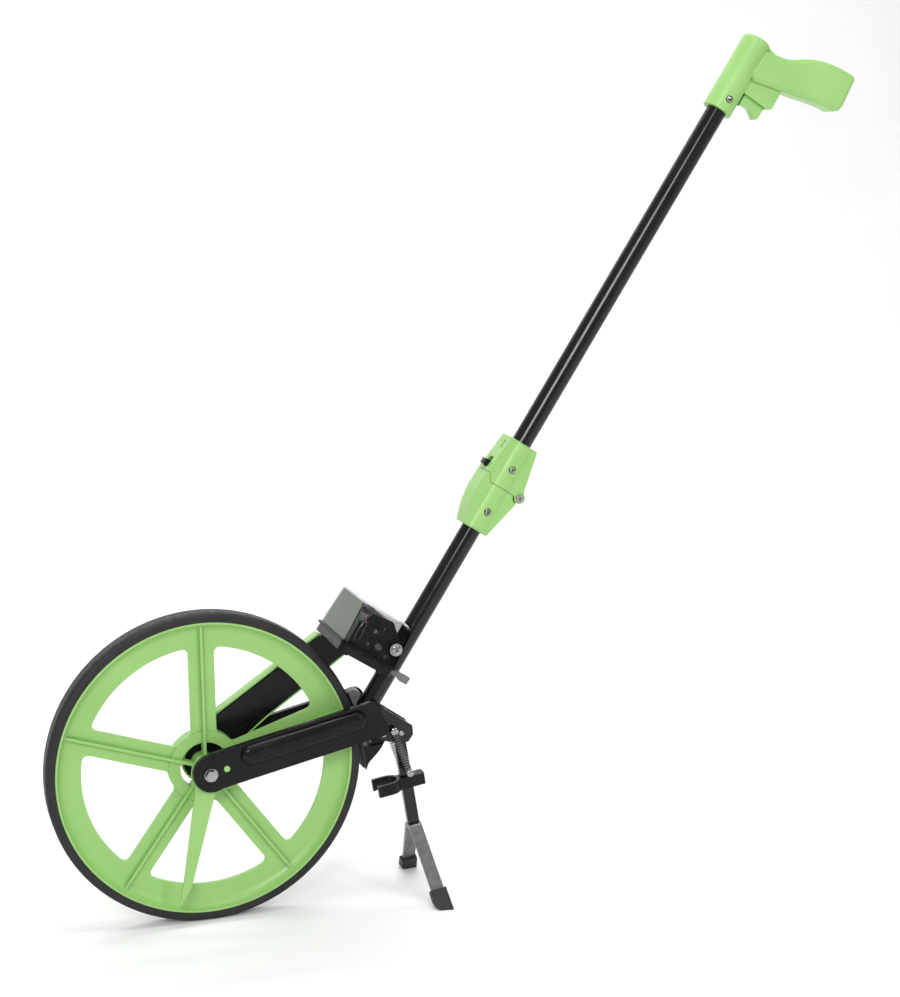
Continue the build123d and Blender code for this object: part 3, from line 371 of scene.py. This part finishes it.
def separate_solids(name):
    """Corner arrays of the separate solids of a CAD node."""
    mesh = nodes[name].data
    points = np.array([corner.co for corner in mesh.vertices])
    _, index = np.unique(np.round(points, 6), axis=0, return_inverse=True)
    index = index.ravel()
    parent = list(range(index.max() + 1))

    def root(i):
        while parent[i] != i:
            parent[i] = parent[parent[i]]
            i = parent[i]
        return i

    for face in mesh.polygons:
        first = root(index[face.vertices[0]])
        for corner in face.vertices[1:]:
            parent[root(index[corner])] = first
    groups = {}
    for i, point in zip(index, points):
        groups.setdefault(root(i), []).append(point)
    return [np.array(group) for group in groups.values()]


def skin(bm, loops, closed=False):
    """Faces between loops of corners, with both ends capped or the last joined to the first."""
    count = len(loops[0])
    for low, high in zip(loops, loops[1:] + (loops[:1] if closed else [])):
        for i in range(count):
            j = (i + 1) % count
            bm.faces.new((low[i], low[j], high[j], high[i]))
    if not closed:
        bm.faces.new(loops[0])
        bm.faces.new(loops[-1])


def rings_about(bm, origin, axis, angles, rings):
    """Skin rings about an axis: each ring is (radius or function of angle, height)."""
    axis = Vector(axis).normalized()
    first = axis.orthogonal().normalized()
    if abs(axis.y) > 0.9:
        first = TUBE
    second = axis.cross(first)
    loops = []
    for radius, height in rings:
        loop = []
        for angle in angles:
            reach = float(radius(angle) if callable(radius) else radius)
            spoke = cos(angle) * first + sin(angle) * second
            loop.append(bm.verts.new(origin + axis * float(height) + reach * spoke))
        loops.append(loop)
    skin(bm, loops)


def even(count):
    """Angles evenly spaced round a circle."""
    return [2 * pi * i / count for i in range(count)]


def cross(reach, half_width):
    """Angles and outline of a cross recess that is star-shaped about its centre."""
    corner = math.atan2(half_width, reach)
    quarter = [-corner, 0.0, corner, corner + 0.25, pi / 4, pi / 2 - corner - 0.25]
    angles = sorted((turn * pi / 2 + angle) % (2 * pi) for turn in range(4) for angle in quarter)

    def outline(angle):
        side = (angle + pi / 4) % (pi / 2) - pi / 4
        if abs(side) <= corner + 1e-6:
            return reach / cos(side)
        return half_width / abs(sin(side))

    return angles, outline


def pan_head(bm, origin, axis, radius, height):
    """Domed pan head with a cross recess; the axis points out of the head."""
    angles, outline = cross(0.52 * radius, 0.13 * radius)
    crown = ((1, 0), (1, 0.35), (0.97, 0.55), (0.88, 0.76), (0.74, 0.9), (0.62, 0.96))
    dome = [(radius * reach, height * rise) for reach, rise in crown]
    floor = height - 0.62 * radius

    def sunk(angle):
        return 0.8 * outline(angle)

    rings_about(bm, origin, axis, angles, dome + [(outline, height), (sunk, max(floor, 0.25 * height)),
                                                  (0.03 * radius, max(floor, 0.2 * height))])


def across_solid(points):
    """Centre, both ends, radius at each end and all radii of a turned solid across the wheel."""
    low, high = points.min(0), points.max(0)
    centre = (low + high) / 2
    radii = np.hypot(points[:, 0] - centre[0], points[:, 2] - centre[2])
    slice_depth = 0.0004
    radius_low = radii[points[:, 1] < low[1] + slice_depth].max()
    radius_high = radii[points[:, 1] > high[1] - slice_depth].max()
    return centre, low[1], high[1], radius_low, radius_high, radii


def screws(name, node, body, washer=0.0):
    """Pan-head screws where a CAD group's solids are; a washer is sized by the head's radius."""
    bm = bmesh.new()
    for points in separate_solids(node):
        centre, low, high, radius_low, radius_high, radii = across_solid(points)
        out = -1 if radius_low > radius_high else 1
        top = low if out < 0 else high
        radius = radii.max()
        seat = Vector((centre[0], top - out * SCREW_HEAD, centre[2]))
        pan_head(bm, seat, (0, out, 0), radius * 0.94, SCREW_HEAD)
        if washer:
            rings_about(bm, seat, (0, out, 0), even(36), [
                (radius * washer, -0.0006), (radius * washer, 0.0001), (radius * 0.9, 0.0002)])
        shank = high - low - SCREW_HEAD
        crests = 24
        thread = [(0.0015 if i % 2 else 0.0012, -i * shank / crests) for i in range(1, crests)]
        rings_about(bm, seat, (0, out, 0), even(16), thread + [(0.0006, -shank)])
    return piece(name, bm, bright, body, "bright_steel", node)


def rivets(name, node, body, grow=1.0):
    """Pins with a domed head at both ends where a CAD group's solids are."""
    bm = bmesh.new()
    for points in separate_solids(node):
        centre, low, high, radius_low, radius_high, radii = across_solid(points)
        origin = Vector((centre[0], low, centre[2]))
        length = high - low
        shank = np.percentile(radii, 20)
        dome = [(0.25, 0), (0.62, 0.12), (0.88, 0.5), (1, 1), (1, 1.6)]
        start = [(reach * radius_low * grow, rise * RIVET_DOME) for reach, rise in dome]
        end = [(reach * radius_high * grow, length - rise * RIVET_DOME) for reach, rise in reversed(dome)]
        neck = 1.7 * RIVET_DOME
        rings_about(bm, origin, (0, 1, 0), even(28), start + [(shank, neck), (shank, length - neck)] + end)
    return piece(name, bm, bright, body, "bright_steel", node)


def sweep(bm, path, radius):
    """Eight-sided wire along a list of points."""
    path = [Vector(point) for point in path]
    normal = (path[1] - path[0]).orthogonal().normalized()
    loops = []
    for i, point in enumerate(path):
        ahead = (path[min(i + 1, len(path) - 1)] - path[max(i - 1, 0)]).normalized()
        normal = (normal - normal.dot(ahead) * ahead).normalized()
        second = ahead.cross(normal)
        loops.append([bm.verts.new(point + radius * (cos(angle) * normal + sin(angle) * second))
                      for angle in even(8)])
    skin(bm, loops)


def coil(start, end, radius, turns, lead=0.0, steps=18):
    """Points of a coil between two points, with a straight lead at both ends."""
    start, end = Vector(start), Vector(end)
    run = end - start
    axis = run.normalized()
    first = axis.cross(SIDE).normalized()
    second = axis.cross(first)
    body = run.length - 2 * lead
    path = [start] if lead else []
    for i in range(int(turns * steps) + 1):
        angle = 2 * pi * i / steps
        along = lead + body * i / (turns * steps)
        path.append(start + axis * along + radius * (cos(angle) * first + sin(angle) * second))
    return path + ([end] if lead else [])


def tube_place(along, front, y):
    """Point from its distance along the tube and in front of it, and its place across."""
    return AXLE + along * TUBE + (front - TUBE_OFFSET) * FRONT + y * SIDE


# ---------------------------------------------------------------- tyre
def tyre():
    """Solid rubber tyre: flat tread between two fine grooves, and rounded shoulders."""
    half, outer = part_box("tyre")[1].y, AXLE.z
    shoulder = [(TYRE_DEPTH, 0), (0.0048, 0), (0.0030, 0.0003), (0.0015, 0.0010), (0.0006, 0.0021),
                (0.0001, 0.0034), (0, 0.0042)]
    groove = [(0.0006, 0.0046), (0.0006, 0.0052), (0, 0.0056)]
    side = [(outer - depth, half - inset) for depth, inset in shoulder + groove]
    profile = side + [(radius, -across) for radius, across in reversed(side)]
    bm = bmesh.new()
    loops = []
    for angle in even(288):
        spoke = Vector((cos(angle), 0, sin(angle)))
        loops.append([bm.verts.new(AXLE + radius * spoke + across * SIDE) for radius, across in profile])
    skin(bm, loops, closed=True)
    return piece("rubber_tyre", bm, tyre_rubber, "wheel", "tyre", "tyre")


tyre()


def arm_ridge(name, node, out):
    """Rounded stiffening ridge along the outer face of a fork arm."""
    low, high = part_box(node)
    face = low.y if out < 0 else high.y
    run = (RIDGE_END - RIDGE_START).normalized()
    normal = Vector((-run.y, run.x))
    crown = ((1.0, -0.0004), (0.99, 0.0006), (0.95, 0.0018), (0.87, 0.0030), (0.75, 0.0041),
             (0.59, 0.0049), (0.4, 0.0055), (0.2, 0.0058), (0.06, 0.0059))
    bm = bmesh.new()
    loops = []
    for scale, height in crown:
        loop = []
        for angle in even(64):
            turn = Vector((cos(angle), sin(angle)))
            centre = RIDGE_END if turn.x >= 0 else RIDGE_START
            point = centre + RIDGE_HALF_WIDTH * scale * (turn.x * run + turn.y * normal)
            loop.append(bm.verts.new((AXLE.x + point.x, face + out * height, AXLE.z + point.y)))
        loops.append(loop)
    skin(bm, loops)
    return piece(name, bm, black, "frame", "black_plastic")


arm_ridge("near_arm_ridge", "near_arm", -1)
arm_ridge("far_arm_ridge", "far_arm", 1)

# ---------------------------------------------------------------- fasteners
screws("grip_screw_heads", "grip_screws", "upper")
screws("upper_housing_screw_heads", "upper_housing_screws", "upper")
screws("lower_housing_screw_heads", "lower_housing_screws", "frame")
screws("hood_screw_heads", "hood_screws", "frame", 1.18)
screws("cover_screw_heads", "belt_cover_screws", "frame")
screws("arm_screw_heads", "arm_screws", "frame")
rivets("domed_fork_rivets", "fork_rivets", "frame", 0.85)
rivets("domed_spring_studs", "spring_studs", "frame")
rivets("domed_spring_pin", "lower_spring_pin", "stand")


def axle_nut():
    """Self-locking nut: chamfered hexagon, collar and the threaded end that shows in it."""
    low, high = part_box("axle_nut")
    out = -1 if low.y < 0 else 1
    outer_y = low.y if out < 0 else high.y
    inner_y = high.y if out < 0 else low.y
    thick = abs(outer_y - inner_y)
    flat = min(high.x - low.x, high.z - low.z) / 2
    seat = Vector((AXLE.x, inner_y, AXLE.z))

    def hexagon(angle):
        side = (angle + pi / 6) % (pi / 3) - pi / 6
        return flat / cos(side)

    def chamfered(angle):
        return min(hexagon(angle), 1.045 * flat)

    bm = bmesh.new()
    rings_about(bm, seat, (0, out, 0), even(60), [
        (chamfered, 0), (hexagon, 0.1 * thick), (hexagon, 0.6 * thick), (chamfered, 0.68 * thick),
        (0.86 * flat, 0.7 * thick), (0.84 * flat, 0.94 * thick), (0.74 * flat, thick), (0.58 * flat, thick),
        (0.56 * flat, 0.86 * thick), (0.2 * flat, 0.86 * thick)])
    return piece("locking_nut", bm, bright, "frame", "bright_steel", "axle_nut")


axle_nut()


def grip_web():
    """Moulded web that runs the barrel's round top into the back of the grip."""
    # each rib: distance in front of the tube, top along the tube, half-width
    ribs = [(-0.0100, 0.9249, 0.0055), (-0.0130, 0.9247, 0.0080), (-0.0155, 0.9240, 0.0100),
            (-0.0180, 0.9232, 0.0114), (-0.0210, 0.9226, 0.0122), (-0.0250, 0.9224, 0.0125),
            (-0.0290, 0.9229, 0.0120), (-0.0340, 0.9235, 0.0108)]
    steps, rise, depth = 10, 0.0045, 0.009
    bm = bmesh.new()
    loops = []
    for front, top, half in ribs:
        arch = []
        for k in range(-steps, steps + 1):
            across = k / steps
            fall = rise * (1 - (1 - abs(across) ** 2.5) ** 0.5)
            arch.append((top - fall, half * across))
        arch += [(top - depth, 0.9 * half), (top - depth, -0.9 * half)]
        loops.append([bm.verts.new(tube_place(along, front, y)) for along, y in arch])
    skin(bm, loops)
    return piece("grip_web", bm, green, "upper", "green_plastic")


grip_web()


# ---------------------------------------------------------------- springs
def stand_springs():
    """Pair of close-wound tension springs from the frame's studs to the strut's pin."""
    top = Vector(joints["spring_swing"]["pos_m"])
    pin_low, pin_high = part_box("lower_spring_pin")
    pin = (pin_low + pin_high) / 2
    outward = 1.03      # the hooks hang a little further out than the plain tubes
    bm = bmesh.new()
    for points in separate_solids("stand_springs"):
        y = float(points[:, 1].min() + points[:, 1].max()) / 2 * outward
        start = Vector((top.x, y, top.z))
        end = Vector((pin.x, y, pin.z))
        sweep(bm, coil(start, end, radius=0.0031, turns=15, lead=0.0034), radius=0.0005)
    made = piece("coil_stand_springs", bm, zinc, "over_centre_springs", "zinc_steel", "stand_springs")
    axis = pin - top
    axis.y = 0
    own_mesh(made)


stand_springs()


def trigger_spring():
    """Compression coil behind the trigger."""
    corners = [Vector(point) for solid in separate_solids("trigger_spring") for point in solid]
    along = [corner.dot(TUBE) for corner in corners]
    middle = sum(corners, Vector()) / len(corners)
    start = middle + (min(along) - middle.dot(TUBE)) * TUBE
    end = middle + (max(along) - middle.dot(TUBE)) * TUBE
    bm = bmesh.new()
    sweep(bm, coil(start, end, radius=0.0022, turns=7, steps=20), radius=0.0003)
    made = piece("coil_trigger_spring", bm, zinc, "upper", "zinc_steel", "trigger_spring")
    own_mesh(made)


trigger_spring()


# ---------------------------------------------------------------- stand
def rounded(points, radii, steps=8):
    """Closed outline with arcs in place of its corners."""
    outline = []
    for i, (corner, radius) in enumerate(zip(points, radii)):
        corner = Vector(corner)
        back = (Vector(points[i - 1]) - corner).normalized()
        ahead = (Vector(points[(i + 1) % len(points)]) - corner).normalized()
        half = back.angle(ahead) / 2
        if radius == 0:
            outline.append(corner)
            continue
        middle = corner + (back + ahead).normalized() * radius / sin(half)
        first = corner + back * radius / math.tan(half) - middle
        last = corner + ahead * radius / math.tan(half) - middle
        for k in range(steps + 1):
            outline.append(middle + radius * first.normalized().slerp(last.normalized(), k / steps))
    return outline


def stand_legs():
    """Flat bar bent into two splayed legs, with a round knee under the strut."""
    pivot = Vector(joints["stand_fold"]["pos_m"])
    apex = pivot + STRUT_LENGTH * Vector((sin(STRUT_LEAN), 0, -cos(STRUT_LEAN)))
    drop = apex.z
    run = (LEG_RUN ** 2 - drop ** 2) ** 0.5
    down = Vector((run, 0, -drop)) / LEG_RUN
    out = Vector((-down.z, 0, down.x))
    along = Vector((LEG_RUN, LEG_SPREAD)).normalized()
    inward = Vector((along.y, -along.x))
    knee = Vector((0, LEG_BAR_HALF))
    foot = knee + LEG_LENGTH * along
    inner_bend, crotch = Vector((0.0062, 0.0072)), Vector((0.0042, 0.0002))
    half = [knee, foot, foot + LEG_BAR * inward, inner_bend, crotch]
    radii = [KNEE_RADIUS, 0, 0, 0.0016, 0]
    corners = half + [Vector((point.x, -point.y)) for point in reversed(half)]
    outline = rounded(corners, radii + radii[::-1])
    bm = bmesh.new()
    rows = []
    chamfer = 0.0005
    for across, inset in ((-1.0, chamfer), (-0.93, 0), (0.93, 0), (1.0, chamfer)):
        row = []
        for i, point in enumerate(outline):
            side = (outline[(i + 1) % len(outline)] - outline[i - 1]).normalized()
            shrunk = point - inset * Vector((side.y, -side.x))
            place = apex + shrunk.x * down + shrunk.y * SIDE + across * LEG_BAR_HALF * out
            row.append(bm.verts.new(place))
        rows.append(row)
    skin(bm, rows)
    return piece("bent_legs", bm, leg_paint, "stand", "zinc_steel", "stand_legs")


stand_legs()


# ---------------------------------------------------------------- counter
def wire_spring():
    """Hairpin spring of the counter's reset, a smooth curve outside the near plate."""
    loop = [(0.1829, 0.0628), (0.1913, 0.0643), (0.1991, 0.0645), (0.2050, 0.0631), (0.2072, 0.0613),
            (0.2052, 0.0598), (0.1971, 0.0590), (0.1883, 0.0586)]
    gap = 0.0018
    path = [tube_place(along, front, NEAR_PLATE - gap) for along, front in loop]
    smooth, steps = [], 6
    for i in range(len(path) - 1):
        before, after = path[max(i - 1, 0)], path[min(i + 2, len(path) - 1)]
        for k in range(steps):
            t = k / steps
            level = 2 * path[i]
            slope = (path[i + 1] - before) * t
            bend = (2 * before - 5 * path[i] + 4 * path[i + 1] - after) * t * t
            twist = (3 * path[i] - before - 3 * path[i + 1] + after) * t ** 3
            smooth.append((level + slope + bend + twist) / 2)
    smooth.append(path[-1])
    bm = bmesh.new()
    sweep(bm, smooth, radius=0.00045)
    return piece("reset_wire_spring", bm, bright, "frame", "bright_steel")


def plate_studs():
    """Small riveted spacer ends and a spool on the near counter plate."""
    bm = bmesh.new()
    out, sunk, height = (0, -1, 0), -0.0003, 0.0009
    studs = ((0.2093, 0.0395, 0.0012), (0.1885, 0.0475, 0.0014), (0.1855, 0.0250, 0.0014))
    for along, front, radius in studs:
        seat = tube_place(along, front, NEAR_PLATE)
        rings_about(bm, seat, out, even(20), [
            (radius, sunk), (radius, 0.4 * height), (0.8 * radius, 0.8 * height), (0.3 * radius, height)])
    flange, waist = 0.0034, 0.0024
    spool = [(flange, sunk), (flange, 0.0006), (waist, 0.0008), (waist, 0.0026), (flange, 0.0028),
             (flange, 0.0036), (0.0012, 0.0036), (0.0010, 0.0030)]
    rings_about(bm, tube_place(0.1908, 0.0368, NEAR_PLATE), out, even(32), spool)
    return piece("counter_plate_studs", bm, zinc, "frame", "zinc_steel")


def front_plate():
    """Grey inner plate right behind the hood's front wall."""
    bm = bmesh.new()
    outline = [(0.1818, -0.0425), (0.1818, 0.0425), (0.2200, 0.0372), (0.2225, 0.0345), (0.2225, -0.0345),
               (0.2200, -0.0372)]
    loops = []
    for front, inset in ((0.0726, 0.0004), (0.0725, 0.0), (0.0724, 0.0), (0.0723, 0.0004)):
        loops.append([bm.verts.new(tube_place(along, front, y - math.copysign(inset, y)))
                      for along, y in outline])
    skin(bm, loops)
    return piece("counter_front_plate", bm, plate_grey, "frame", "zinc_steel")


wire_spring()
plate_studs()
front_plate()


def figures(drum, body, material, slot):
    """Raised figures 0 to 9 round a number drum, 0 in the window at rest."""
    low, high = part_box(drum)
    mask_low, mask_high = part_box("counter_mask")
    window = (mask_low + mask_high) / 2 - DRUM_AXLE
    start = math.atan2(window.z, window.x)
    clearance = 0.00005
    radius = (high.z - low.z) / 2 + clearance
    middle = (low.y + high.y) / 2
    bm = bmesh.new()
    for digit in range(10):
        text = bpy.data.curves.new("figure", "FONT")
        text.body = str(digit)
        text.size = FIGURE_HEIGHT
        text.align_x = "CENTER"
        text.align_y = "CENTER"
        text.extrude = FIGURE_RELIEF
        carrier = bpy.data.objects.new("figure", text)
        mesh = bpy.data.meshes.new_from_object(carrier)
        corners = []
        for corner in mesh.vertices:
            angle = start + digit * pi / 5 + corner.co.y / radius
            reach = radius + corner.co.z
            corners.append(bm.verts.new(DRUM_AXLE + reach * Vector((cos(angle), 0, sin(angle)))
                                        + (middle - DRUM_AXLE.y + corner.co.x) * SIDE))
        for face in mesh.polygons:
            bm.faces.new([corners[i] for i in face.vertices])
        bpy.data.objects.remove(carrier)
        bpy.data.curves.remove(text)
        bpy.data.meshes.remove(mesh)
    return piece("figures_" + drum[-1], bm, material, body, slot)


for place, body in enumerate(("counter_input", "tens_drum", "hundreds_drum", "thousands_drum"), start=1):
    figures(f"number_drum_{place}", body, figure_black, "white_plastic")
figures("number_drum_5", "top_drum", white, "red_plastic")


# ---------------------------------------------------------------- floor, light and camera
def studio():
    """Plain pale floor that curves up far away, under an even white sky."""
    n = Nodes("paper")
    n.colour(n.ramp(n.noise(3, 2), (0.3, 0.83), (0.7, 0.86)))
    n.rough(n.ramp(n.noise(40, 2), (0.3, 0.85), (0.7, 0.95)))
    bm = bmesh.new()
    wall, bend, height, half, steps = 2.6, 1.6, 8.0, 9.0, 24
    profile = [(-half, 0.0)]
    for step in range(steps + 1):
        angle = step / steps * pi / 2
        profile.append((wall + bend * sin(angle), bend * (1 - cos(angle))))
    profile.append((wall + bend, height))
    rows = [[bm.verts.new((x, y, z)) for y, z in profile] for x in (-half, half)]
    for k in range(len(profile) - 1):
        bm.faces.new((rows[0][k], rows[1][k], rows[1][k + 1], rows[0][k + 1]))
    mesh = bpy.data.meshes.new("floor")
    bm.to_mesh(mesh)
    bm.free()
    for face in mesh.polygons:
        face.use_smooth = True
    mesh.materials.append(n.material)
    floor = bpy.data.objects.new("floor", mesh)
    bpy.context.scene.collection.objects.link(floor)
    world = bpy.data.worlds.new("studio")
    world.use_nodes = True
    sky = world.node_tree.nodes["Background"]
    sky.inputs["Color"].default_value = (1, 1, 1, 1)
    sky.inputs["Strength"].default_value = 0.4
    bpy.context.scene.world = world
    bpy.context.scene.view_settings.view_transform = "Standard"


def soft_light(name, place, size, power, towards=(0, 0, 0.4)):
    """Area light that looks at a point."""
    data = bpy.data.lights.new(name, "AREA")
    data.shape = "RECTANGLE"
    data.size, data.size_y = size
    data.energy = power
    light = bpy.data.objects.new(name, data)
    bpy.context.scene.collection.objects.link(light)
    light.location = place
    light.rotation_euler = (Vector(towards) - Vector(place)).to_track_quat("-Z", "Y").to_euler()


studio()
soft_light("key", (-1.35, -2.8, 2.0), (1.2, 1.2), 54)
soft_light("top", (-0.1, -0.35, 3.1), (1.2, 1.2), 34)
soft_light("strip", (1.5, -2.4, 1.7), (0.2, 1.6), 16)
soft_light("wall", (0.0, 2.4, 4.6), (6.0, 1.0), 190, (0.0, 4.3, 1.6))

AZIMUTH = radians(18.36)
ELEVATION = radians(10.49)
ROLL = radians(-0.69)
LENS, FILM = 72.21665, 36       # millimetres
CAMERA = AXLE + Vector((-0.3694, -1.9046, 0.6257))


def photo_camera():
    """Camera at the photograph's place, looking almost along +Y."""
    right = Vector((cos(AZIMUTH), -sin(AZIMUTH), 0))
    ahead = Vector((sin(AZIMUTH) * cos(ELEVATION), cos(AZIMUTH) * cos(ELEVATION), -sin(ELEVATION)))
    up = right.cross(ahead)
    turned_right = cos(ROLL) * right + sin(ROLL) * up
    turned_up = -sin(ROLL) * right + cos(ROLL) * up
    data = bpy.data.cameras.new("camera")
    data.lens = LENS
    data.sensor_width = FILM
    data.sensor_fit = "VERTICAL"
    data.sensor_height = FILM
    data.clip_end = 50
    camera = bpy.data.objects.new("camera", data)
    bpy.context.scene.collection.objects.link(camera)
    camera.matrix_world = Matrix((
        (turned_right.x, turned_up.x, -ahead.x, CAMERA.x),
        (turned_right.y, turned_up.y, -ahead.y, CAMERA.y),
        (turned_right.z, turned_up.z, -ahead.z, CAMERA.z),
        (0, 0, 0, 1)))
    bpy.context.scene.camera = camera


photo_camera()
